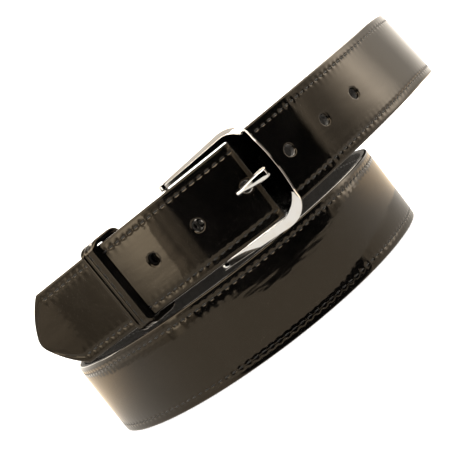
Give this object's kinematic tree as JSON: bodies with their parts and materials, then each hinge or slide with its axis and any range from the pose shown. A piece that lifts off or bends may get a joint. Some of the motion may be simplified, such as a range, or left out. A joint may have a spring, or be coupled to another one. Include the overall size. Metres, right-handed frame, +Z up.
{
  "type": "dress belt",
  "caption": "Black patent leather dress belt, buckled and coiled in two turns on its edge, with a plated frame buckle, a prong and a leather keeper loop.",
  "frame": {"origin": "on the table, under the middle of the coil's bounding box", "axes": "+Z up, the buckle at the front on -Y, the belt's tip towards -X"},
  "size_m": [0.2321, 0.2204, 0.0867],
  "materials": {
    "patent_leather": "high gloss",
    "core_board": "matt",
    "lining_leather": "semi-matt grain",
    "thread": "waxed",
    "buckle_plate": "polished",
    "fastener_metal": "satin"
  },
  "bodies": {
    "strap": {"strap_face": "patent_leather", "strap_core": "core_board", "strap_lining": "lining_leather", "thread_face": "thread", "thread_lining": "thread", "fold_tab": "lining_leather", "fold_posts": "fastener_metal", "fold_screws": "fastener_metal"},
    "buckle": {"buckle_frame": "buckle_plate", "hinge_pin": "fastener_metal"},
    "prong": {"prong": "buckle_plate"},
    "keeper": {"keeper_band": "patent_leather", "keeper_thread": "thread", "keeper_staple": "fastener_metal"}
  },
  "joints": [
    {"name": "frame_swing", "type": "hinge", "parent": "strap", "child": "buckle", "pos_m": [-0.02647, -0.09412, 0.06173], "axis": [0.0211, -0.0069, -0.9998], "range_deg": [0, 2]},
    {"name": "prong_swing", "type": "hinge", "parent": "buckle", "child": "prong", "pos_m": [-0.02647, -0.09412, 0.06173], "axis": [0.0211, -0.0069, -0.9998], "range_deg": [0, 1]},
    {"name": "keeper_slide", "type": "slide", "parent": "strap", "child": "keeper", "axis": [0.8971, -0.4413, 0.0222], "range_m": [-0.004, 0.005]}
  ]
}
